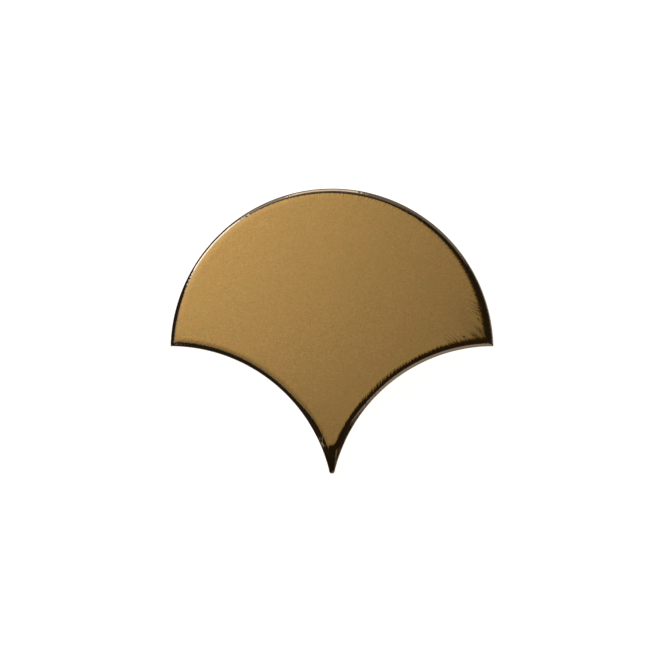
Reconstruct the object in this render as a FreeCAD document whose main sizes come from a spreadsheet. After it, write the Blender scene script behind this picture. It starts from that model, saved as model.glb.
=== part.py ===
"""A fish scale wall tile: one fired piece of glazed ceramic, lying on its back.

Seen from above the tile is a fan: a round crown over two hollow flanks that meet in a narrow tip.
Each flank is the crown of a tile in the next row, with the joint added, so that the tiles nest.
The glazed face is flat and rolls down to the sides in a soft edge. The back is pressed with a grid of
shallow pockets that the adhesive keys into.

Frame: millimetres, +Z out of the glazed face, +Y from the tip to the crown. The origin is the centre of
the crown's arc, on the plane of the back.
"""

import FreeCAD, Part
import enum
import math
import os
import Sketcher

# Each driving dimension: its name, its value in millimetres, and what it measures.
SIZES = (
    ("crown_radius", 60.0, "radius of the round crown, half the tile's width"),
    ("joint", 0.6, "how much wider a flank is than the crown that nests in it, measured on the radius"),
    ("corner_rise", 1.3, "how far the side corners lie above the crown's centre"),
    ("tip_radius", 1.1, "rounded end of the tip, seen from above"),
    ("corner_radius", 0.5, "rounding of the two side corners, seen from above"),
    ("thickness", 9.0, "back to face"),
    ("edge_width", 2.0, "how far in from the side the face begins to roll down"),
    ("edge_fall", 1.0, "how far below the face the rolled edge meets the side"),
    ("nose_radius", 0.5, "tighter end of the rolled edge, where it meets the side"),
    ("side_draft", 0.3, "how far the side leans in towards the back"),
    ("back_chamfer", 0.5, "bevel between the side and the back"),
    ("key_border", 7.0, "plain border round the key pockets"),
    ("key_depth", 0.7, "depth of the key pockets"),
    ("key_pitch", 14.0, "spacing of the ribs between the key pockets"),
    ("key_rib", 2.4, "width of a rib between the key pockets"),
    ("overrun", 5.0, "how far a cutting profile runs past the tile"),
)

# A flank's circle: it is centred half a tile to the side, and its top passes through the side corner.
FLANK_RADIUS = "(sizes.crown_radius + sizes.joint)"
FLANK_FALL = f"({FLANK_RADIUS} - sizes.corner_rise)"


class Side(enum.IntEnum):
    """The side of a bounding circle that the tile is on, as a sign for the circle's radius."""

    INSIDE = -1
    OUTSIDE = 1


class SketchAxis(enum.IntEnum):
    """A sketch's own axes, as the sketcher counts them."""

    X = -1
    Y = -2


class SketchPoint(enum.IntEnum):
    """The points of a line or an arc, as the sketcher counts them."""

    START = 1
    END = 2
    CENTRE = 3


INSIDE, OUTSIDE = Side
X_AXIS, Y_AXIS = SketchAxis
START, END, CENTRE = SketchPoint
FULL_TURN = math.degrees(math.tau)

# The circles that bound the outline: centre, radius and side.
CROWN = ("0", "0", "sizes.crown_radius", INSIDE)
RIGHT_FLANK = ("sizes.crown_radius", f"-{FLANK_FALL}", FLANK_RADIUS, OUTSIDE)
LEFT_FLANK = ("-sizes.crown_radius", f"-{FLANK_FALL}", FLANK_RADIUS, OUTSIDE)


def make_sheet(doc):
    """The spreadsheet that holds the driving dimensions."""
    sheet = doc.addObject("Spreadsheet::Sheet", "sizes")
    for row, (alias, size, note) in enumerate(SIZES, start=1):
        sheet.set(f"A{row}", alias)
        sheet.set(f"B{row}", str(size))
        sheet.set(f"C{row}", note)
        sheet.setAlias(f"B{row}", alias)
    doc.recompute()


def origin_item(body, role):
    """One of a body's own origin planes or axes."""
    return next(item for item in body.Origin.OriginFeatures if item.Role == role)


def new_sketch(body, name, plane, across="0", out="0"):
    """A sketch on an origin plane, moved sideways and along the plane's normal by formulas."""
    sketch = body.newObject("Sketcher::SketchObject", name)
    sketch.AttachmentSupport = [(origin_item(body, plane), "")]
    sketch.MapMode = "FlatFace"
    sketch.setExpression(".AttachmentOffset.Base.x", across)
    sketch.setExpression(".AttachmentOffset.Base.z", out)
    return sketch


def value(sketch, formula):
    """What a formula comes to with the sizes as they stand."""
    return float(sketch.evalExpression(formula))


def join(sketch, first, first_point, second, second_point):
    sketch.addConstraint(Sketcher.Constraint("Coincident", first, first_point, second, second_point))


def bind(sketch, kind, *places, formula):
    """Adds a dimension that is tied to a formula."""
    index = sketch.addConstraint(Sketcher.Constraint(kind, *places, value(sketch, formula)))
    sketch.setExpression(f"Constraints[{index}]", formula)


def pin(sketch, item, point, across, up):
    """Fixes a point by its distances from the sketch's origin."""
    for kind, axis, formula in (("DistanceX", Y_AXIS, across), ("DistanceY", X_AXIS, up)):
        if formula == "0":
            sketch.addConstraint(Sketcher.Constraint("PointOnObject", item, point, axis))
        else:
            bind(sketch, kind, X_AXIS, START, item, point, formula=formula)


def add_path(sketch, corners):
    """Straight lines through corners, each a pair of formulas, with every corner pinned."""
    spots = [FreeCAD.Vector(value(sketch, x), value(sketch, y), 0) for x, y in corners]
    lines = [sketch.addGeometry(Part.LineSegment(*ends), False) for ends in zip(spots, spots[1:])]
    for line, corner in zip(lines, corners):
        pin(sketch, line, START, *corner)
    pin(sketch, lines[-1], END, *corners[-1])
    for line, following in zip(lines, lines[1:]):
        join(sketch, line, END, following, START)
    return lines


def add_arc(sketch, centre, radius, begin, end):
    """An arc that runs counter-clockwise from one angle to another, in radians."""
    circle = Part.Circle(FreeCAD.Vector(*centre, 0), FreeCAD.Vector(0, 0, 1), radius)
    return sketch.addGeometry(Part.ArcOfCircle(circle, begin, end), False)


def close_loop(sketch, last_line, first_line):
    """Closes a profile with a line from the end of its last line to the start of its first."""
    ends = sketch.getPoint(last_line, END), sketch.getPoint(first_line, START)
    closing = sketch.addGeometry(Part.LineSegment(*ends), False)
    join(sketch, last_line, END, closing, START)
    join(sketch, closing, END, first_line, START)


def circles_meet(first, first_radius, second, second_radius, side):
    """Where two circles meet: left of the way from first to second if side is 1, else right of it."""
    (x1, y1), (x2, y2) = first, second
    apart = math.hypot(x2 - x1, y2 - y1)
    along = (first_radius**2 - second_radius**2 + apart**2) / (2 * apart)
    aside = math.sqrt(first_radius**2 - along**2)
    ux, uy = (x2 - x1) / apart, (y2 - y1) / apart
    return x1 + along * ux - side * aside * uy, y1 + along * uy + side * aside * ux


def add_rolled_edge(sketch, side_line, face_line, wall, side):
    """The two tangent arcs of the rolled edge, from the top of the side to the rim of the flat face.

    wall is the formula for the side's distance from the axis of revolution.
    """
    sizes = sketch.Document.sizes
    width, fall, nose = sizes.edge_width, sizes.edge_fall, sizes.nose_radius
    soft = ((width - nose) ** 2 + fall**2 - nose**2) / (2 * (fall - nose))
    slope = math.asin((width - nose) / (soft - nose))
    x, top = value(sketch, wall), sizes.thickness
    upright = math.pi / 2
    if side == INSIDE:
        nose_ends, soft_ends = (0, upright - slope), (upright - slope, upright)
        outer, inner = START, END
    else:
        nose_ends, soft_ends = (upright + slope, math.pi), (upright, upright + slope)
        outer, inner = END, START
    nose_arc = add_arc(sketch, (x + side * nose, top - fall), nose, *nose_ends)
    soft_arc = add_arc(sketch, (x + side * width, top - soft), soft, *soft_ends)
    bind(sketch, "Radius", nose_arc, formula="sizes.nose_radius")
    join(sketch, side_line, END, nose_arc, outer)
    join(sketch, soft_arc, inner, face_line, START)
    sketch.addConstraint(Sketcher.Constraint("Tangent", nose_arc, inner, soft_arc, outer))
    sketch.addConstraint(Sketcher.Constraint("Horizontal", nose_arc, CENTRE, nose_arc, outer))
    sketch.addConstraint(Sketcher.Constraint("Vertical", soft_arc, CENTRE, soft_arc, inner))


def add_crown(body):
    """The disc that the tile is cut from, with its side, back bevel and rolled edge."""
    sketch = new_sketch(body, "crown_profile", "XZ_Plane")
    side_foot = "sizes.crown_radius - sizes.side_draft"
    side_line = add_path(
        sketch,
        [
            ("0", "0"),
            (f"{side_foot} - sizes.back_chamfer", "0"),
            (side_foot, "sizes.back_chamfer"),
            ("sizes.crown_radius", "sizes.thickness - sizes.edge_fall"),
        ],
    )
    face_line = add_path(
        sketch,
        [
            ("sizes.crown_radius - sizes.edge_width", "sizes.thickness"),
            ("0", "sizes.thickness"),
        ],
    )
    close_loop(sketch, face_line[-1], side_line[0])
    add_rolled_edge(sketch, side_line[-1], face_line[0], "sizes.crown_radius", INSIDE)
    disc = body.newObject("PartDesign::Revolution", "crown_disc")
    disc.Profile = sketch
    disc.ReferenceAxis = (sketch, ["V_Axis"])
    disc.Angle = FULL_TURN


def cut_flank(body):
    """Cuts the right flank, with its side, back bevel and rolled edge, out of the disc."""
    sketch = new_sketch(body, "flank_profile", "XZ_Plane", "sizes.crown_radius", FLANK_FALL)
    side_foot = f"{FLANK_RADIUS} + sizes.side_draft"
    rim = f"{FLANK_RADIUS} + sizes.edge_width"
    side_line = add_path(
        sketch,
        [
            ("0", "-sizes.overrun"),
            (f"{side_foot} + sizes.back_chamfer", "-sizes.overrun"),
            (f"{side_foot} + sizes.back_chamfer", "0"),
            (side_foot, "sizes.back_chamfer"),
            (FLANK_RADIUS, "sizes.thickness - sizes.edge_fall"),
        ],
    )
    face_line = add_path(
        sketch,
        [
            (rim, "sizes.thickness"),
            (rim, "sizes.thickness + sizes.overrun"),
            ("0", "sizes.thickness + sizes.overrun"),
        ],
    )
    close_loop(sketch, face_line[-1], side_line[0])
    add_rolled_edge(sketch, side_line[-1], face_line[0], FLANK_RADIUS, OUTSIDE)
    groove = body.newObject("PartDesign::Groove", "flank_cut")
    groove.Profile = sketch
    groove.ReferenceAxis = (sketch, ["V_Axis"])
    groove.Angle = FULL_TURN
    return groove


def trim_corner(body, name, radius, first, second, outward):
    """Rounds a corner of the outline: cuts what lies past an arc that is tangent to two bounding circles.

    The arc runs counter-clockwise from the first circle to the second, and the cut reaches the two
    outward corners, which are pairs of formulas.
    """
    sketch = new_sketch(body, f"{name}_outline", "XY_Plane")
    rounding = value(sketch, radius)
    centres = []
    reaches = []
    for across, up, circle_radius, side in (first, second):
        centres.append((value(sketch, across), value(sketch, up)))
        reaches.append(value(sketch, circle_radius) + side * rounding)
    middle = circles_meet(centres[0], reaches[0], centres[1], reaches[1], first[3] * second[3])
    angles = []
    for (x, y), (_, _, _, side) in zip(centres, (first, second)):
        angles.append(math.atan2(side * (y - middle[1]), side * (x - middle[0])))
    arc = add_arc(sketch, middle, rounding, *angles)
    bind(sketch, "Radius", arc, formula=radius)
    for point, (across, up, circle_radius, _) in ((START, first), (END, second)):
        circle = sketch.addGeometry(
            Part.Circle(
                FreeCAD.Vector(value(sketch, across), value(sketch, up), 0),
                FreeCAD.Vector(0, 0, 1),
                value(sketch, circle_radius),
            ),
            True,
        )
        pin(sketch, circle, CENTRE, across, up)
        bind(sketch, "Radius", circle, formula=circle_radius)
        sketch.addConstraint(Sketcher.Constraint("Tangent", arc, point, circle))
    far = add_path(sketch, outward)
    for point, line, end in ((START, far[0], START), (END, far[-1], END)):
        tie = sketch.addGeometry(
            Part.LineSegment(sketch.getPoint(arc, point), sketch.getPoint(line, end)), False
        )
        join(sketch, tie, START, arc, point)
        join(sketch, tie, END, line, end)
    return cut_through(body, f"{name}_trim", sketch)


def cut_through(body, name, sketch):
    """Cuts a sketch through the whole body, both ways from the sketch's plane."""
    pocket = body.newObject("PartDesign::Pocket", name)
    pocket.Profile = sketch
    pocket.Type = "ThroughAll"
    pocket.Midplane = True
    return pocket


def add_key_field(body):
    """The field of the key pockets: the outline moved in by the border, as deep as the pockets."""
    sketch = new_sketch(body, "key_field_outline", "XY_Plane")
    rounds = []
    for across, up, radius, side in (CROWN, LEFT_FLANK, RIGHT_FLANK):
        rounds.append((across, up, f"{radius} + ({side}) * sizes.key_border"))
    centres = [(value(sketch, across), value(sketch, up)) for across, up, _ in rounds]
    radii = [value(sketch, radius) for _, _, radius in rounds]
    left = circles_meet(centres[0], radii[0], centres[1], radii[1], INSIDE)
    tip = circles_meet(centres[1], radii[1], centres[2], radii[2], OUTSIDE)
    right = (-left[0], left[1])
    arcs = []
    for centre, radius, begin, end in zip(centres, radii, (right, tip, right), (left, left, tip)):
        angles = [math.atan2(y - centre[1], x - centre[0]) for x, y in (begin, end)]
        arcs.append(add_arc(sketch, centre, radius, *angles))
    for arc, (across, up, radius) in zip(arcs, rounds):
        pin(sketch, arc, CENTRE, across, up)
        bind(sketch, "Radius", arc, formula=radius)
    crown, left_flank, right_flank = arcs
    join(sketch, crown, END, left_flank, END)
    join(sketch, left_flank, START, right_flank, END)
    join(sketch, right_flank, START, crown, START)
    pad = body.newObject("PartDesign::Pad", "key_field")
    pad.Profile = sketch
    pad.setExpression("Length", "sizes.key_depth")


def cut_ribs(body, name, axis, first, count):
    """Takes a row of parallel ribs out of the key field, along an axis of the body.

    first is the formula for the first rib's place along the axis, and count the one for how many there are.
    """
    sketch = new_sketch(body, f"{name}_outline", "XY_Plane")
    ends = ("-sizes.crown_radius", "sizes.crown_radius")
    sides = (f"{first} - sizes.key_rib / 2", f"{first} + sizes.key_rib / 2")
    corners = [(ends[0], sides[0]), (ends[1], sides[0]), (ends[1], sides[1]), (ends[0], sides[1])]
    if axis == "X_Axis":
        corners = [(along, end) for end, along in corners]
    lines = add_path(sketch, corners)
    close_loop(sketch, lines[-1], lines[0])
    slot = cut_through(body, name, sketch)
    row = body.newObject("PartDesign::LinearPattern", f"{name}_row")
    row.Originals = [slot]
    row.Direction = (origin_item(body, axis), [""])
    row.setExpression("Length", f"({count} - 1) * sizes.key_pitch")
    row.setExpression("Occurrences", count)
    body.Tip = row
    body.Document.recompute()


def build_key_pockets(doc):
    """The pockets of the back as a body of their own, with a crossing of ribs on the origin."""
    body = doc.addObject("PartDesign::Body", "key_pockets")
    body.AllowCompound = True
    add_key_field(body)
    reach = "(sizes.crown_radius - sizes.key_border)"
    foot = f"({FLANK_FALL} - sqrt(pow({FLANK_RADIUS} + sizes.key_border; 2) - pow(sizes.crown_radius; 2)))"
    above = f"floor({reach} / sizes.key_pitch)"
    below = f"floor({foot} / sizes.key_pitch)"
    cut_ribs(body, "cross_ribs", "Y_Axis", f"-{below} * sizes.key_pitch", f"({above} + {below} + 1)")
    cut_ribs(body, "upright_ribs", "X_Axis", f"-{above} * sizes.key_pitch", f"(2 * {above} + 1)")
    return body


def build_tile(doc):
    """The whole tile: a disc with a rolled edge, two flanks cut from it, its corners and tip rounded."""
    body = doc.addObject("PartDesign::Body", "tile")
    add_crown(body)
    doc.recompute()
    flank = cut_flank(body)
    doc.recompute()
    beyond = "sizes.crown_radius + sizes.overrun"
    short = "sizes.crown_radius - sizes.overrun"
    drop = "sizes.corner_rise - sizes.overrun"
    corner_box = [(short, drop), (beyond, drop), (beyond, "sizes.corner_rise + sizes.overrun")]
    corner = trim_corner(body, "corner", "sizes.corner_radius", RIGHT_FLANK, CROWN, corner_box)
    doc.recompute()
    left_side = body.newObject("PartDesign::Mirrored", "left_side")
    left_side.Originals = [flank, corner]
    left_side.MirrorPlane = (origin_item(body, "YZ_Plane"), [""])
    body.Tip = left_side
    doc.recompute()
    tip_box = [("-sizes.overrun", f"-{FLANK_FALL}"), ("sizes.overrun", f"-{FLANK_FALL}")]
    trim_corner(body, "tip", "sizes.tip_radius", LEFT_FLANK, RIGHT_FLANK, tip_box)
    doc.recompute()
    return body


def press_back(tile, pockets):
    """Presses the key pockets into the back of the tile."""
    pressing = tile.newObject("PartDesign::Boolean", "key_pressing")
    pressing.Type = "Cut"
    pressing.setObjects([pockets])
    tile.Tip = pressing
    tile.Document.recompute()


def check(doc, tile):
    """Stops if any object failed, a sketch is loose, or the tile isn't one sound solid."""
    for item in doc.Objects:
        if "Invalid" in item.State or "Error" in item.State:
            raise RuntimeError(f"{item.Name} failed: {item.State}")
        if item.isDerivedFrom("Sketcher::SketchObject") and not item.FullyConstrained:
            raise RuntimeError(f"{item.Name} is not fully constrained")
    shape = tile.Shape
    if shape.isNull() or not shape.isValid() or len(shape.Solids) != 1:
        raise RuntimeError("the tile is not one sound solid")


def main():
    doc = FreeCAD.newDocument("fish_scale_tile")
    make_sheet(doc)
    tile = build_tile(doc)
    press_back(tile, build_key_pockets(doc))
    check(doc, tile)
    os.makedirs("parts", exist_ok=True)
    tile.Shape.exportStep(f"parts/{tile.Label}.step")
    print(f"{tile.Label}: {tile.Shape.Volume:.1f} mm3, {len(tile.Shape.Faces)} faces")


main()
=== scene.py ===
"""The looks of a fish scale wall tile: a metallic bronze glaze over a pale fired body, lying on its back.

The tile is one mesh. Rings that follow the outline, each a little further in than the last, run from the
bed up the side, over the rolled edge and across the face to its middle. The back is filled in round the
key pockets. Lengths are in metres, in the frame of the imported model, whose box gives the overall size.
"""

import math
from types import SimpleNamespace

import bmesh
import bpy
from mathutils import Euler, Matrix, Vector, noise
from mathutils.geometry import delaunay_2d_cdt


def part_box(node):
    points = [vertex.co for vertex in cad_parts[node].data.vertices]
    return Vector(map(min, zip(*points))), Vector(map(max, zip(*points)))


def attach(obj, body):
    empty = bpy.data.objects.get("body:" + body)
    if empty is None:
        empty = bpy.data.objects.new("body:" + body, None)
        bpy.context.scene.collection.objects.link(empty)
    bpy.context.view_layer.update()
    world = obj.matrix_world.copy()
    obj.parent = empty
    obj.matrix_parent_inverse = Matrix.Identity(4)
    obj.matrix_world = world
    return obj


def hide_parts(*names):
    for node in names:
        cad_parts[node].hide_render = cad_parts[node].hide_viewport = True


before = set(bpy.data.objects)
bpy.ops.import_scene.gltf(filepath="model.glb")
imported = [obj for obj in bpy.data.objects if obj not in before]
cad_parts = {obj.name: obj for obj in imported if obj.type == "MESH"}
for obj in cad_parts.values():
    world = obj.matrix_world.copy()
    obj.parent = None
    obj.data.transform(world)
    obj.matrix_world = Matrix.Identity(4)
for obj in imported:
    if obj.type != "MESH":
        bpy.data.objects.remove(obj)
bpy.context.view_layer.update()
tile_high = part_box("tile")[1]

MM = 0.001

# The outline in plan, as in the construction.
CROWN_RADIUS = tile_high.y
JOINT = 0.6 * MM
CORNER_RISE = 1.3 * MM
FLANK_RADIUS = CROWN_RADIUS + JOINT
FLANK_FALL = FLANK_RADIUS - CORNER_RISE
CORNER_RADIUS = 0.5 * MM
TIP_RADIUS = 1.1 * MM

# The section through the side and the rolled edge.
THICKNESS = tile_high.z
EDGE_WIDTH = 2.0 * MM
EDGE_FALL = 1.0 * MM
NOSE_RADIUS = 0.5 * MM
SIDE_DRAFT = 0.3 * MM
BACK_CHAMFER = 0.5 * MM
SHOULDER = THICKNESS - EDGE_FALL

# The key pockets in the back.
KEY_BORDER = 7.0 * MM
KEY_DEPTH = 0.7 * MM
KEY_PITCH = 14.0 * MM
KEY_RIB = 2.4 * MM


def circles_meet(first, first_radius, second, second_radius, side):
    """Where two circles meet: left of the way from first to second if side is 1, else right of it."""
    (x1, y1), (x2, y2) = first, second
    apart = math.hypot(x2 - x1, y2 - y1)
    along = (first_radius**2 - second_radius**2 + apart**2) / (2 * apart)
    aside = math.sqrt(max(0.0, first_radius**2 - along**2))
    ux, uy = (x2 - x1) / apart, (y2 - y1) / apart
    return x1 + along * ux - side * aside * uy, y1 + along * uy + side * aside * ux


def arc(centre, radius, begin, end, count):
    """Points along an arc from one angle to another, without the last point."""
    angles = [begin + (end - begin) * step / count for step in range(count)]
    return [(centre[0] + radius * math.cos(a), centre[1] + radius * math.sin(a)) for a in angles]


# How many points each arc of the outline has.
CORNER_STEPS = 12
CROWN_STEPS = 400
FLANK_STEPS = 170
TIP_STEPS = 14

# How much rounder a corner gets for each length that the outline moves in.
CORNER_SOFTENING = 0.12
TIP_SOFTENING = 0.35
MOST_ROUNDING = 1.6 * MM
LEAST_ROUNDING = 0.02 * MM


def outline(inset, middle):
    """The tile's outline moved in by inset, counter-clockwise from the right corner.

    Its corners are rounder further in, and near the middle they shrink with the ring.
    """
    spare = max(LEAST_ROUNDING, (middle - inset) / 2)
    corner = min(CORNER_RADIUS + CORNER_SOFTENING * inset, MOST_ROUNDING, spare)
    tip = min(TIP_RADIUS + TIP_SOFTENING * inset, MOST_ROUNDING, spare)
    crown_radius = CROWN_RADIUS - inset
    flank_radius = FLANK_RADIUS + inset
    right_centre = (CROWN_RADIUS, -FLANK_FALL)
    left_centre = (-CROWN_RADIUS, -FLANK_FALL)
    right = circles_meet((0, 0), crown_radius - corner, right_centre, flank_radius + corner, 1)
    left = (-right[0], right[1])
    tip_rise = math.sqrt((flank_radius + tip) ** 2 - CROWN_RADIUS**2)
    tip_centre = (0, tip_rise - FLANK_FALL)
    crown_end = math.atan2(right[1], right[0])
    flank_top = math.atan2(right[1] + FLANK_FALL, right[0] - CROWN_RADIUS)
    flank_end = math.atan2(tip_rise, CROWN_RADIUS)
    half, turn = math.pi, 2 * math.pi
    return (
        arc(right, corner, flank_top - half, crown_end, CORNER_STEPS)
        + arc((0, 0), crown_radius, crown_end, half - crown_end, CROWN_STEPS)
        + arc(left, corner, half - crown_end, turn - flank_top, CORNER_STEPS)
        + arc(left_centre, flank_radius, half - flank_top, flank_end, FLANK_STEPS)
        + arc(tip_centre, tip, half + flank_end, turn - flank_end, TIP_STEPS)
        + arc(right_centre, flank_radius, half - flank_end, flank_top, FLANK_STEPS)
    )


CIRCLE_HALVINGS = 60


def widest_circle():
    """The widest circle inside the outline: how far its centre lies above the crown's, and its radius."""
    low, high = 0.0, CROWN_RADIUS
    for _ in range(CIRCLE_HALVINGS):
        y = (low + high) / 2
        to_flank = math.hypot(CROWN_RADIUS, y + FLANK_FALL) - FLANK_RADIUS
        if to_flank < CROWN_RADIUS - y:
            low = y
        else:
            high = y
    return low, CROWN_RADIUS - low


# How far in from the rim the glaze starts to thin.
LIP_START = 5.0 * MM

# How many rows each stretch of the section has, and how much closer the face's rows lie near the rim.
SIDE_ROWS = 12
NOSE_ROWS = 12
ROLL_ROWS = 20
LIP_ROWS = 14
FACE_ROWS = 36
FACE_SPREAD = 1.5


def section(middle):
    """The rows of the section from the bed to the middle of the face, as pairs of inset and height."""
    rows = [(SIDE_DRAFT + BACK_CHAMFER, 0.0), (SIDE_DRAFT + BACK_CHAMFER / 2, BACK_CHAMFER / 2)]
    for row in range(SIDE_ROWS):
        share = row / SIDE_ROWS
        rows.append((SIDE_DRAFT * (1 - share), BACK_CHAMFER + share * (SHOULDER - BACK_CHAMFER)))
    reach, fall = EDGE_WIDTH - NOSE_RADIUS, EDGE_FALL - NOSE_RADIUS
    roll_radius = (reach**2 + EDGE_FALL**2 - NOSE_RADIUS**2) / (2 * fall)
    roll_slope = math.asin(reach / (roll_radius - NOSE_RADIUS))
    nose_turn = math.pi / 2 - roll_slope
    for row in range(NOSE_ROWS):
        angle = nose_turn * row / NOSE_ROWS
        rows.append((NOSE_RADIUS * (1 - math.cos(angle)), SHOULDER + NOSE_RADIUS * math.sin(angle)))
    for row in range(ROLL_ROWS):
        angle = roll_slope * (1 - row / ROLL_ROWS)
        drop = roll_radius * (1 - math.cos(angle))
        rows.append((EDGE_WIDTH - roll_radius * math.sin(angle), THICKNESS - drop))
    for row in range(LIP_ROWS):
        rows.append((EDGE_WIDTH + (LIP_START - EDGE_WIDTH) * row / LIP_ROWS, THICKNESS))
    for row in range(FACE_ROWS):
        rows.append((LIP_START + (middle - LIP_START) * (row / FACE_ROWS) ** FACE_SPREAD, THICKNESS))
    return rows


# How round and how wide the edge of a key pocket is, and how far in the deepest point of the least is.
KEY_SOFTNESS = 0.35 * MM
KEY_SLOPE = 0.45 * MM
SMALLEST_KEY = 1.2 * MM

# How finely a key pocket is drawn and looked for.
KEY_SIDES = 64
KEY_HALVINGS = 40
KEY_TRIES = 12

# The section of a key pocket from its edge to its floor, as pairs of inset and depth.
KEY_SECTION = (
    (0.0, 0.0),
    (0.12 * MM, 0.08 * MM),
    (KEY_SLOPE, 0.6 * KEY_DEPTH),
    (KEY_SLOPE + 0.12 * MM, 0.92 * KEY_DEPTH),
    (KEY_SLOPE + 0.35 * MM, KEY_DEPTH),
)


def key_edge(x, y, cell_x, cell_y):
    """How far a point is outside one key pocket, with the pocket's corners rounded. It is negative inside."""
    half = (KEY_PITCH - KEY_RIB) / 2
    sides = (
        abs(x - cell_x) - half,
        abs(y - cell_y) - half,
        math.hypot(x, y) - (CROWN_RADIUS - KEY_BORDER),
        FLANK_RADIUS + KEY_BORDER - math.hypot(x - CROWN_RADIUS, y + FLANK_FALL),
        FLANK_RADIUS + KEY_BORDER - math.hypot(x + CROWN_RADIUS, y + FLANK_FALL),
    )
    largest = max(sides)
    return largest + KEY_SOFTNESS * math.log(sum(math.exp((s - largest) / KEY_SOFTNESS) for s in sides))


def key_loop(centre, cell, inset):
    """The points where a pocket's edge, moved in by inset, crosses rays from its centre."""
    points = []
    for step in range(KEY_SIDES):
        angle = 2 * math.pi * (step + 0.5) / KEY_SIDES
        ray = (math.cos(angle), math.sin(angle))
        near, far = 0.0, KEY_PITCH
        for _ in range(KEY_HALVINGS):
            reach = (near + far) / 2
            if key_edge(centre[0] + reach * ray[0], centre[1] + reach * ray[1], *cell) < -inset:
                near = reach
            else:
                far = reach
        points.append((centre[0] + near * ray[0], centre[1] + near * ray[1]))
    return points


def key_cells():
    """Each key pocket that is wide enough to press: its cell's centre and its own deepest point."""
    found = []
    reach = math.ceil(CROWN_RADIUS / KEY_PITCH)
    tries = [(i / KEY_TRIES - 0.5) * KEY_PITCH for i in range(KEY_TRIES + 1)]
    for column in range(-reach, reach):
        for row in range(-reach, reach):
            cell = ((column + 0.5) * KEY_PITCH, (row + 0.5) * KEY_PITCH)
            spots = [(cell[0] + dx, cell[1] + dy) for dx in tries for dy in tries]
            centre = min(spots, key=lambda spot: key_edge(*spot, *cell))
            if key_edge(*centre, *cell) < -SMALLEST_KEY:
                found.append((cell, centre))
    return found


def add_pocket(mesh, cell, centre):
    """Adds one key pocket's sides and floor, and gives the points of its edge."""
    loops = []
    for inset, depth in KEY_SECTION:
        loops.append([mesh.verts.new((x, y, depth)) for x, y in key_loop(centre, cell, inset)])
    for outer, inner in zip(loops, loops[1:]):
        for i in range(KEY_SIDES):
            j = (i + 1) % KEY_SIDES
            mesh.faces.new((outer[i], inner[i], inner[j], outer[j]))
    floor = mesh.verts.new((*centre, KEY_DEPTH))
    for i in range(KEY_SIDES):
        mesh.faces.new((loops[-1][i], floor, loops[-1][(i + 1) % KEY_SIDES]))
    return loops[0]


# The triangles of the back are those inside its rim, and points this close count as one.
INSIDE_ONLY = 1
CLOSEST_POINTS = 1e-9


def add_back(mesh, rim):
    """Fills the back inside its rim, and presses the key pockets into it."""
    edges = [(i, (i + 1) % len(rim)) for i in range(len(rim))]
    corners = list(rim)
    pockets = key_cells()
    for cell, centre in pockets:
        first = len(corners)
        corners += add_pocket(mesh, cell, centre)
        edges += [(first + i, first + (i + 1) % KEY_SIDES) for i in range(KEY_SIDES)]
    spots = [Vector(vertex.co.xy) for vertex in corners]
    filled = delaunay_2d_cdt(spots, edges, [], INSIDE_ONLY, CLOSEST_POINTS)
    _, _, triangles, originals, _, _ = filled
    for triangle in triangles:
        points = [corners[originals[index][0]] for index in triangle]
        middle = sum((point.co for point in points), Vector()) / 3
        if all(key_edge(middle.x, middle.y, *cell) > 0 for cell, _ in pockets):
            mesh.faces.new(points[::-1])


def ways_along(rim):
    """Each rim point's way along the rim from the right corner, the shorter way round."""
    ways = [0.0]
    for here, there in zip(rim, rim[1:] + rim[:1]):
        ways.append(ways[-1] + (there - here).length)
    return [min(way, ways[-1] - way) for way in ways]


def add_rows(mesh, rows, middle_rise, middle):
    """The side, the rolled edge and the face: a ring of points for each row of the section.

    Each point keeps its inset and its way along the rim, in millimetres, for the material.
    """
    inset_layer = mesh.verts.layers.float.new("inset")
    along_layer = mesh.verts.layers.float.new("along")
    along = ways_along([Vector(point) for point in outline(0, middle)])
    rings = []
    for inset, height in rows:
        ring = []
        for (x, y), way in zip(outline(inset, middle), along):
            vertex = mesh.verts.new((x, y, height))
            vertex[inset_layer] = inset / MM
            vertex[along_layer] = way / MM
            ring.append(vertex)
        rings.append(ring)
    for lower, upper in zip(rings, rings[1:]):
        for i in range(len(lower)):
            j = (i + 1) % len(lower)
            mesh.faces.new((lower[i], lower[j], upper[j], upper[i]))
    top = mesh.verts.new((0, middle_rise, THICKNESS))
    top[inset_layer] = middle / MM
    for i in range(len(rings[-1])):
        mesh.faces.new((rings[-1][i], rings[-1][(i + 1) % len(rings[-1])], top))
    return rings


# How the glaze thins towards the rim. Near the tip a second, steeper lip is added to the first.
LIP_SLOPE = 0.061
TIP_LIP_SLOPE = 0.30
TIP_LIP_START = 3.1 * MM
TIP_LIP_FADE = 0.8 * MM

# Where the second lip starts and is whole, on the way from the crown's centre down to the tip.
TIP_LIP_TOP = -16 * MM
TIP_LIP_END = -29 * MM

# The height that the side below keeps its place from as the face above it sinks.
LIP_FOOT = 2.0 * MM

# How the face falls away at the point of the tip.
TIP_START = -35.4 * MM
TIP_EASE = 1.5 * MM
TIP_SLOPE = 0.12


def ease(share):
    """From 0 to 1 as share does, with a soft start and end."""
    share = max(0.0, min(1.0, share))
    return share * share * (3 - 2 * share)


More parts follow.
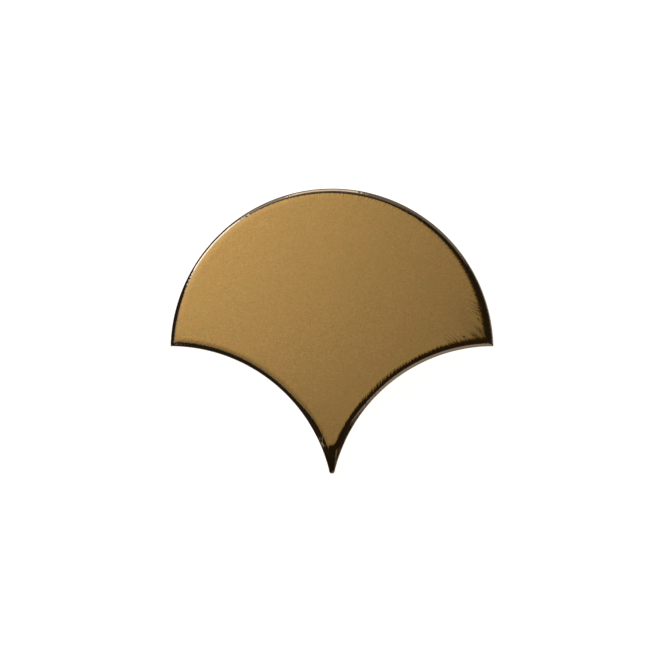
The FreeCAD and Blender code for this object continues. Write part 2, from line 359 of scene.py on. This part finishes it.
def lip_fall(inset, near_tip):
    """How far the glaze has thinned between the flat face and the rolled edge, more so near the tip."""
    width = LIP_START - EDGE_WIDTH
    tip_width = TIP_LIP_START - EDGE_WIDTH
    if inset > EDGE_WIDTH:
        fall = max(0.0, LIP_START - inset) ** 3 / (3 * width**2)
        tip_fall = max(0.0, TIP_LIP_START - inset) ** 2 / (2 * tip_width)
    else:
        fade = EDGE_WIDTH - TIP_LIP_FADE
        left = max(0.0, inset - TIP_LIP_FADE)
        fall = width / 3 + EDGE_WIDTH - inset
        tip_fall = tip_width / 2 + (fade**2 - left**2) / (2 * fade)
    return LIP_SLOPE * fall + TIP_LIP_SLOPE * near_tip * tip_fall


def settle_face(mesh):
    """Lets the face sink towards its rim, and fall away at the point of the tip."""
    inset = mesh.verts.layers.float["inset"]
    for vertex in mesh.verts:
        height = (vertex.co.z - LIP_FOOT) / (SHOULDER - LIP_FOOT)
        if height > 0:
            near_tip = ease((vertex.co.y - TIP_LIP_TOP) / (TIP_LIP_END - TIP_LIP_TOP))
            past = max(0.0, TIP_START - vertex.co.y)
            fall = lip_fall(vertex[inset] * MM, near_tip)
            fall += TIP_SLOPE * (math.sqrt(past**2 + TIP_EASE**2) - TIP_EASE)
            vertex.co.z -= fall * min(1.0, height)


# Waves in the glaze and in the clay, each as its height, the size of its bumps and its seed.
SWELL_WAVES = ((0.010 * MM, 14 * MM, 3.0), (0.004 * MM, 4 * MM, 9.0))
CLAY_WAVES = ((0.02 * MM, 1.4 * MM, 17.0), (0.02 * MM, 5 * MM, 23.0))

# How far the surface moves in, so that its waves stay inside the construction.
SWELL_SINK = 0.012 * MM
CLAY_SINK = 0.04 * MM

# Points lower than this lie on the bed and stay flat.
BED = 0.05 * MM


def waves(place, layers):
    """The sum of several layers of smooth noise at one place."""
    total = 0.0
    for height, size, seed in layers:
        total += height * noise.noise(Vector((place.x / size, place.y / size, place.z / size + seed)))
    return total


def relieve(mesh):
    """Gives the face the slow swell of a poured glaze, and the clay of the side its unevenness."""
    mesh.normal_update()
    moves = []
    for vertex in mesh.verts:
        place = vertex.co
        on_face = max(0.0, min(1.0, (place.z - SHOULDER) / EDGE_FALL))
        on_side = 1 - on_face if place.z > BED else 0.0
        sink = on_face * (waves(place, SWELL_WAVES) - SWELL_SINK)
        sink += on_side * (waves(place, CLAY_WAVES) - CLAY_SINK)
        moves.append((vertex, vertex.normal * sink))
    for vertex, move in moves:
        vertex.co += move


def build_tile():
    """The whole tile as one closed mesh."""
    mesh = bmesh.new()
    middle_rise, middle = widest_circle()
    rings = add_rows(mesh, section(middle), middle_rise, middle)
    add_back(mesh, rings[0])
    bmesh.ops.recalc_face_normals(mesh, faces=mesh.faces)
    settle_face(mesh)
    relieve(mesh)
    data = bpy.data.meshes.new("glazed_tile")
    mesh.to_mesh(data)
    mesh.free()
    for polygon in data.polygons:
        polygon.use_smooth = True
    tile = bpy.data.objects.new("glazed_tile", data)
    bpy.context.scene.collection.objects.link(tile)
    return tile


def srgb(red, green, blue):
    """A colour given as screen values from 0 to 255, as linear light by the sRGB standard."""
    linear = []
    for channel in (red, green, blue):
        share = channel / 255
        linear.append(share / 12.92 if share <= 0.04045 else ((share + 0.055) / 1.055) ** 2.4)
    return (*linear, 1.0)


class Nodes:
    """The node tree of a material, a light or the world, with short ways to add and join nodes."""

    def __init__(self, owner):
        owner.use_nodes = True
        self.tree = owner.node_tree

    def fill(self, node, inputs):
        """Sets a node's inputs, each to a number, a colour or another node's output."""
        for name, source in inputs.items():
            if isinstance(source, bpy.types.NodeSocket):
                self.tree.links.new(source, node.inputs[name])
            else:
                node.inputs[name].default_value = source

    def add(self, kind, inputs=None, **settings):
        """A new node with its settings and inputs set."""
        node = self.tree.nodes.new(kind)
        for name, setting in settings.items():
            setattr(node, name, setting)
        self.fill(node, inputs or {})
        return node

    def sum(self, first, second):
        """Two numbers added."""
        return self.add("ShaderNodeMath", {0: first, 1: second}, operation="ADD").outputs[0]

    def difference(self, first, second):
        """The first number less the second."""
        return self.add("ShaderNodeMath", {0: first, 1: second}, operation="SUBTRACT").outputs[0]

    def product(self, first, second):
        """Two numbers multiplied."""
        return self.add("ShaderNodeMath", {0: first, 1: second}, operation="MULTIPLY").outputs[0]

    def absolute(self, source):
        """A number without its sign."""
        return self.add("ShaderNodeMath", {0: source}, operation="ABSOLUTE").outputs[0]

    def noise(self, where, scale, detail=3.0, roughness=0.55):
        """Noise round a half, with about scale bumps to a unit of where."""
        inputs = {"Vector": where, "Scale": scale, "Detail": detail, "Roughness": roughness}
        return self.add("ShaderNodeTexNoise", inputs).outputs["Fac"]

    def ramp(self, source, low, high, to_low=0.0, to_high=1.0):
        """source between low and high, spread smoothly between two other values."""
        inputs = {"Value": source, "From Min": low, "From Max": high, "To Min": to_low, "To Max": to_high}
        return self.add("ShaderNodeMapRange", inputs, interpolation_type="SMOOTHSTEP").outputs["Result"]

    def mix(self, share, first, second, blend="MIX"):
        """Two colours mixed. The node has sockets for each kind of value, and its colours have these."""
        first_socket, second_socket, mixed_socket = 6, 7, 2
        inputs = {"Factor": share, first_socket: first, second_socket: second}
        node = self.add("ShaderNodeMix", inputs, data_type="RGBA", blend_type=blend)
        return node.outputs[mixed_socket]

    def distance(self, place, centre):
        """How far a place lies from a centre."""
        inputs = {0: place, 1: centre}
        return self.add("ShaderNodeVectorMath", inputs, operation="DISTANCE").outputs["Value"]

    def reach_towards(self, place, turn):
        """How far a place lies in a direction, given in degrees counter-clockwise from the right."""
        ray = (math.cos(math.radians(turn)), math.sin(math.radians(turn)), 0)
        inputs = {0: place, 1: ray}
        return self.add("ShaderNodeVectorMath", inputs, operation="DOT_PRODUCT").outputs["Value"]

    def bump(self, height, distance, below=None):
        """A bumped normal, on top of another one if there is one below."""
        inputs = {"Height": height, "Distance": distance, "Strength": 1.0}
        if below is not None:
            inputs["Normal"] = below
        return self.add("ShaderNodeBump", inputs).outputs[0]


# Noise scales, in bumps a metre.
SPECKLE_SCALE = 2600.0
PORE_SCALE = 1700.0
GRAIN_SCALE = 1300.0
FLECK_SCALE = 620.0
BEAD_SCALE = 260.0
CLOUD_SCALE = 230.0
DRIFT_SCALE = 30.0

# Noise lies round this value.
NOISE_MIDDLE = 0.5

# The stretch of its noise over which each layer of colour comes in.
SPECKLE_RANGE = (0.25, 0.75)
GRAIN_RANGE = (0.3, 0.7)
REDDISH_RANGE = (0.45, 0.7)
GREENISH_RANGE = (0.55, 0.3)
DEEP_RANGE = (0.35, 0.7)
RUN_CLOUD_RANGE = (0.4, 0.65)
CLAY_RANGE = (0.25, 0.75)
CLAY_CLOUD_RANGE = (0.4, 0.8)
PORE_RANGE = (0.66, 0.74)
SPRAY_RANGE = (0.58, 0.68)

# How far grain and flecks darken and lighten the gold, and how strong the other layers get.
GRAIN_LIGHT = (0.95, 1.05)
FLECK_LIGHT = (0.97, 1.03)
CLOUD_SHARE = 0.5
DRIFT_SHARE = 0.3
THIN_SHARE = 0.9
BEAD_SHARE = 0.75
PORE_SHARE = 0.55
DUST_SHARE = 0.5

# The gold of the face, and the darker glaze that runs down the side and ends in a bead.
GOLD_DARK = (0.413, 0.211, 0.026, 1)
GOLD_LIGHT = (0.547, 0.325, 0.101, 1)
GOLD_REDDISH = (0.505, 0.260, 0.063, 1)
GOLD_GREENISH = (0.465, 0.276, 0.056, 1)
GOLD_DEEP = (0.450, 0.263, 0.053, 1)
GOLD_THIN = (0.50, 0.40, 0.29, 1)
RUN_DARK = (0.20, 0.112, 0.038, 1)
RUN_LIGHT = (0.30, 0.185, 0.075, 1)
RUN_CLOUD = (0.36, 0.25, 0.12, 1)
BEAD_COLOUR = (0.10, 0.06, 0.028, 1)

# The fired clay, and the specks of glaze on it.
CLAY_DARK = srgb(212, 196, 172)
CLAY_LIGHT = srgb(233, 222, 203)
CLAY_CLOUD = srgb(205, 184, 156)
CLAY_DUST = srgb(238, 232, 220)
PORE_COLOUR = srgb(150, 128, 104)
SPRAY_COLOUR = srgb(122, 92, 58)

# Where the glaze is thin and pale: insets in millimetres, and heights.
THIN_INSETS = (1.9, 1.0)
THIN_HEIGHTS = (6.8 * MM, 7.8 * MM)

# How far the glaze's line wavers, and the heights over which it and what lies near it come in.
LINE_WAVER = 2.4 * MM
LINE_HEIGHTS = (5.2 * MM, 5.5 * MM)
RUN_HEIGHTS = (8.3 * MM, 7.9 * MM)
BEAD_FOOT = (5.0 * MM, 5.4 * MM)
BEAD_HEAD = (6.4 * MM, 5.7 * MM)
SPRAY_HEIGHTS = (3.0 * MM, 5.2 * MM)

# Dust lies in the key pockets and round the foot of the side, between these heights.
DUST_FOOT = (0.3 * MM, 0.6 * MM)
DUST_HEAD = (0.9 * MM, 0.7 * MM)


def surface_fields(nodes):
    """What the colours and bumps are worked out from: place, height, place on the rim, and noise."""
    where = nodes.add("ShaderNodeTexCoord").outputs["Object"]
    height = nodes.add("ShaderNodeSeparateXYZ", {0: where}).outputs["Z"]
    pore = nodes.noise(where, PORE_SCALE, detail=2.0)
    waver = nodes.product(nodes.noise(where, BEAD_SCALE), LINE_WAVER)
    return SimpleNamespace(
        where=where,
        height=height,
        inset=nodes.add("ShaderNodeAttribute", attribute_name="inset").outputs["Fac"],
        along=nodes.add("ShaderNodeAttribute", attribute_name="along").outputs["Fac"],
        speckle=nodes.noise(where, SPECKLE_SCALE, detail=2.0, roughness=0.6),
        grain=nodes.noise(where, GRAIN_SCALE, roughness=0.6),
        fleck=nodes.noise(where, FLECK_SCALE, detail=2.0),
        cloud=nodes.noise(where, CLOUD_SCALE),
        drift=nodes.noise(where, DRIFT_SCALE, detail=2.0),
        pore=nodes.ramp(pore, *PORE_RANGE, 0.0, PORE_SHARE),
        line=nodes.sum(height, waver),
    )


def glaze_colour(nodes, at):
    """Mottled gold on the face, paler where it is thin, and a darker run on the side that ends in a bead."""
    gold = nodes.mix(nodes.ramp(at.speckle, *SPECKLE_RANGE), GOLD_DARK, GOLD_LIGHT)
    gold = nodes.mix(1.0, gold, nodes.ramp(at.grain, *GRAIN_RANGE, *GRAIN_LIGHT), "MULTIPLY")
    gold = nodes.mix(1.0, gold, nodes.ramp(at.fleck, *GRAIN_RANGE, *FLECK_LIGHT), "MULTIPLY")
    gold = nodes.mix(nodes.ramp(at.cloud, *REDDISH_RANGE, 0.0, CLOUD_SHARE), gold, GOLD_REDDISH)
    gold = nodes.mix(nodes.ramp(at.cloud, *GREENISH_RANGE, 0.0, CLOUD_SHARE), gold, GOLD_GREENISH)
    gold = nodes.mix(nodes.ramp(at.drift, *DEEP_RANGE, 0.0, DRIFT_SHARE), gold, GOLD_DEEP)
    near_rim = nodes.ramp(at.inset, *THIN_INSETS, 0.0, THIN_SHARE)
    thin = nodes.product(near_rim, nodes.ramp(at.height, *THIN_HEIGHTS))
    gold = nodes.mix(thin, gold, GOLD_THIN)
    run = nodes.mix(nodes.ramp(at.grain, *GRAIN_RANGE), RUN_DARK, RUN_LIGHT)
    run = nodes.mix(nodes.ramp(at.cloud, *RUN_CLOUD_RANGE), run, RUN_CLOUD)
    glaze = nodes.mix(nodes.ramp(at.height, *RUN_HEIGHTS), gold, run)
    bead = nodes.product(nodes.ramp(at.line, *BEAD_FOOT), nodes.ramp(at.line, *BEAD_HEAD))
    return nodes.mix(nodes.product(bead, BEAD_SHARE), glaze, BEAD_COLOUR)


def clay_colour(nodes, at):
    """Pale fired clay with pores, with dust near the bed and a spray of glaze below the glaze's line."""
    clay = nodes.mix(nodes.ramp(at.grain, *CLAY_RANGE), CLAY_DARK, CLAY_LIGHT)
    clay = nodes.mix(nodes.ramp(at.cloud, *CLAY_CLOUD_RANGE, 0.0, CLOUD_SHARE), clay, CLAY_CLOUD)
    clay = nodes.mix(at.pore, clay, PORE_COLOUR)
    dust = nodes.product(nodes.ramp(at.height, *DUST_FOOT), nodes.ramp(at.height, *DUST_HEAD))
    clay = nodes.mix(nodes.product(dust, DUST_SHARE), clay, CLAY_DUST)
    spray = nodes.product(nodes.ramp(at.speckle, *SPRAY_RANGE), nodes.ramp(at.line, *SPRAY_HEIGHTS))
    return nodes.mix(spray, clay, SPRAY_COLOUR)


# Ripples run in from the rim. Their width, length and insets are in millimetres.
RIPPLE_WIDTH = 0.9
RIPPLE_LENGTH = 5.0
RIPPLE_INSETS = (4.6, 2.2)
RIPPLE_HEIGHT = 0.045 * MM

# Creases run in from the rim near one corner. Their width, length and insets are in millimetres too.
CREASE_WIDTH = 2.6
CREASE_LENGTH = 18.0
CREASE_INSETS = (8.5, 4.0)
CREASE_SEED = 7.0
CREASE_EDGE = 0.035
CREASE_DEPTH = 0.016 * MM
CREASED_CORNER = (60 * MM, 2 * MM, 9 * MM)
CREASE_REACH = (26 * MM, 12 * MM)

# How deep the grain and the pores are, and how much of the grain shows through the glaze.
GRAIN_HEIGHT = 0.05 * MM
GLAZED_GRAIN = 0.1


def relief(nodes, at, covered):
    """The normal, with the glaze's ripples and creases, and grain and pores in the clay."""
    flow = nodes.add("ShaderNodeCombineXYZ", {
        0: nodes.product(at.along, 1 / RIPPLE_WIDTH),
        1: nodes.product(at.inset, 1 / RIPPLE_LENGTH),
    })
    ripple = nodes.noise(flow.outputs[0], scale=1.0, detail=2.0, roughness=0.5)
    ripple = nodes.product(ripple, nodes.ramp(at.inset, *RIPPLE_INSETS))
    rippled = nodes.bump(ripple, RIPPLE_HEIGHT)
    fold = nodes.add("ShaderNodeCombineXYZ", {
        0: nodes.product(at.along, 1 / CREASE_WIDTH),
        1: nodes.product(at.inset, 1 / CREASE_LENGTH),
        2: CREASE_SEED,
    })
    folds = nodes.noise(fold.outputs[0], scale=1.0, detail=1.0)
    off_crease = nodes.absolute(nodes.difference(folds, NOISE_MIDDLE))
    near_corner = nodes.ramp(nodes.distance(at.where, CREASED_CORNER), *CREASE_REACH)
    near_corner = nodes.product(near_corner, nodes.ramp(at.inset, *CREASE_INSETS))
    crease = nodes.product(nodes.ramp(off_crease, 0.0, CREASE_EDGE), near_corner)
    creased = nodes.bump(crease, CREASE_DEPTH, rippled)
    grain = nodes.product(at.grain, nodes.ramp(covered, 0.0, 1.0, 1.0, GLAZED_GRAIN))
    pores = nodes.product(at.pore, nodes.ramp(covered, 1.0, 0.0))
    return nodes.bump(nodes.difference(grain, pores), GRAIN_HEIGHT, creased)


# How rough the glaze is, how much rougher the clay is, and the clear coat on the glaze.
GLAZE_ROUGHNESS = (0.06, 0.10)
CLAY_ROUGHER = 0.6
COAT_WEIGHT = 0.6
COAT_ROUGHNESS = 0.05
COAT_IOR = 1.6


def glazed_clay():
    """Bronze lustre glaze on the face and the upper side, and bare fired clay below it."""
    material = bpy.data.materials.new("glazed_clay")
    nodes = Nodes(material)
    at = surface_fields(nodes)
    covered = nodes.ramp(at.line, *LINE_HEIGHTS)
    glossy = nodes.ramp(at.grain, *GRAIN_RANGE, *GLAZE_ROUGHNESS)
    nodes.fill(nodes.tree.nodes["Principled BSDF"], {
        "Base Color": nodes.mix(covered, clay_colour(nodes, at), glaze_colour(nodes, at)),
        "Metallic": covered,
        "Coat Weight": nodes.product(covered, COAT_WEIGHT),
        "Coat Roughness": COAT_ROUGHNESS,
        "Coat IOR": COAT_IOR,
        "Roughness": nodes.sum(glossy, nodes.ramp(covered, 0.0, 1.0, CLAY_ROUGHER, 0.0)),
        "Normal": relief(nodes, at, covered),
    })
    return material


FLOOR_HALF = 3.0
FLOOR_DROP = 0.2 * MM
FLOOR_COLOUR = (0.8, 0.8, 0.79, 1)
FLOOR_GLOW_COLOUR = (1.0, 1.0, 0.99, 1)
FLOOR_GLOW = 0.85


def add_floor():
    """A plain pale floor, lit a little from within as a packshot table is."""
    mesh = bpy.data.meshes.new("floor")
    corners = ((-1, -1), (1, -1), (1, 1), (-1, 1))
    mesh.from_pydata([(x * FLOOR_HALF, y * FLOOR_HALF, -FLOOR_DROP) for x, y in corners], [], [(0, 1, 2, 3)])
    floor = bpy.data.objects.new("floor", mesh)
    bpy.context.scene.collection.objects.link(floor)
    material = bpy.data.materials.new("floor_white")
    nodes = Nodes(material)
    nodes.fill(nodes.tree.nodes["Principled BSDF"], {
        "Base Color": FLOOR_COLOUR,
        "Roughness": 0.9,
        "Specular IOR Level": 0.1,
        "Emission Color": FLOOR_GLOW_COLOUR,
        "Emission Strength": FLOOR_GLOW,
    })
    floor.data.materials.append(material)


def new_light(name, width, height, radiance):
    """A rectangular light, with its power worked out from how bright it looks."""
    light = bpy.data.lights.new(name, "AREA")
    light.shape = "RECTANGLE"
    light.size = width
    light.size_y = height
    light.energy = radiance * math.pi * width * height
    lamp = bpy.data.objects.new(name, light)
    bpy.context.scene.collection.objects.link(lamp)
    return lamp


# The main light's place, and its turn about the vertical in degrees.
BOX_HEIGHT = 1.0
BOX_TURN = -45.0
BOX_LEFT, BOX_RIGHT = -0.60, 0.098
BOX_BOTTOM, BOX_TOP = -0.62, 0.25

# How its glow falls off round the lamp behind its cloth.
GLOW_CENTRE = (-0.29, 0.24, BOX_HEIGHT)
GLOW_INNER, GLOW_OUTER = 0.12, 0.49
LEAST_GLOW, MOST_GLOW = 0.44, 1.15

# How it fades towards the lower left and is cut off towards the right, in these directions in degrees.
FADE_TURN = 240.0
FADE_START, FADE_END = 0.045, 0.140
FADED_GLOW = 0.73
CUT_TURN = -17.0
CUT_START, CUT_END = 0.108, 0.142


def add_graded_box():
    """The main light: a large box above the tile, brightest at the upper left."""
    lamp = new_light("overhead_box", BOX_RIGHT - BOX_LEFT, BOX_TOP - BOX_BOTTOM, radiance=1.0)
    nodes = Nodes(lamp.data)
    place = nodes.add("ShaderNodeNewGeometry").outputs["Position"]
    glow = nodes.ramp(nodes.distance(place, GLOW_CENTRE), GLOW_OUTER, GLOW_INNER, LEAST_GLOW, MOST_GLOW)
    fade = nodes.ramp(nodes.reach_towards(place, FADE_TURN), FADE_START, FADE_END, 1.0, FADED_GLOW)
    cut = nodes.ramp(nodes.reach_towards(place, CUT_TURN), CUT_END, CUT_START)
    strength = nodes.product(nodes.product(glow, fade), cut)
    nodes.fill(nodes.tree.nodes["Emission"], {"Strength": strength})
    turn = Euler((0, 0, math.radians(BOX_TURN)))
    middle = Vector(((BOX_LEFT + BOX_RIGHT) / 2, (BOX_BOTTOM + BOX_TOP) / 2, BOX_HEIGHT))
    middle.rotate(turn)
    lamp.location = middle
    lamp.rotation_euler = turn


# The panels round the tile that its rolled edge reflects. Each has a name, its direction counter-clockwise
# from the right and its lean off the vertical in degrees, its distance, width, height and radiance.
PANELS = (
    ("corner_box", 140, 37, 1.2, 0.5, 0.32, 0.95),
    ("left_window", 139, 54, 1.1, 0.42, 0.38, 2.3),
    ("upper_left_panel", 115, 63, 1.1, 0.36, 0.6, 0.42),
    ("top_panel", 93, 64, 1.1, 0.46, 0.46, 1.2),
    ("top_fill", 88, 40, 1.1, 0.7, 0.4, 0.12),
    ("upper_right_panel", 58, 66, 1.1, 0.85, 0.7, 0.2),
    ("right_panel", 358, 79, 1.2, 2.4, 0.3, 0.35),
    ("lower_right_panel", 290, 62, 1.1, 0.95, 0.85, 0.36),
    ("tip_strip", 204.6, 72, 1.1, 0.05, 0.6, 1.6),
)


def add_panel(name, azimuth, lean, distance, width, height, radiance):
    """A panel that faces the tile."""
    lamp = new_light(name, width, height, radiance)
    ray = Vector((
        math.sin(math.radians(lean)) * math.cos(math.radians(azimuth)),
        math.sin(math.radians(lean)) * math.sin(math.radians(azimuth)),
        math.cos(math.radians(lean)),
    ))
    lamp.location = distance * ray
    lamp.rotation_euler = (-ray).to_track_quat("-Z", "Y").to_euler()


DIM_SURROUNDINGS = (0.025, 0.022, 0.02, 1)


def add_lights():
    """The main light, the panels and a dim room round them."""
    add_graded_box()
    for panel in PANELS:
        add_panel(*panel)
    world = bpy.data.worlds.new("studio")
    nodes = Nodes(world)
    nodes.fill(nodes.tree.nodes["Background"], {"Color": DIM_SURROUNDINGS})
    bpy.context.scene.world = world


# The camera's height above the face, the point it looks down on, and its lens and sensor in millimetres.
CAMERA_HEIGHT = 0.684
VIEW_CENTRE = (0.2 * MM, 6.5 * MM)
LENS = 100.0
SENSOR_WIDTH = 36.0


def add_camera():
    """The photograph's view: straight down, with the crown up."""
    data = bpy.data.cameras.new("camera")
    data.lens = LENS
    data.sensor_width = SENSOR_WIDTH
    camera = bpy.data.objects.new("camera", data)
    camera.location = (*VIEW_CENTRE, THICKNESS + CAMERA_HEIGHT)
    bpy.context.scene.collection.objects.link(camera)
    bpy.context.scene.camera = camera


def main():
    """Builds the tile and its studio."""
    tile = build_tile()
    tile.data.materials.append(glazed_clay())
    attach(tile, "root")
    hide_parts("tile")
    add_floor()
    add_lights()
    add_camera()
    bpy.context.scene.view_settings.view_transform = "Standard"


main()
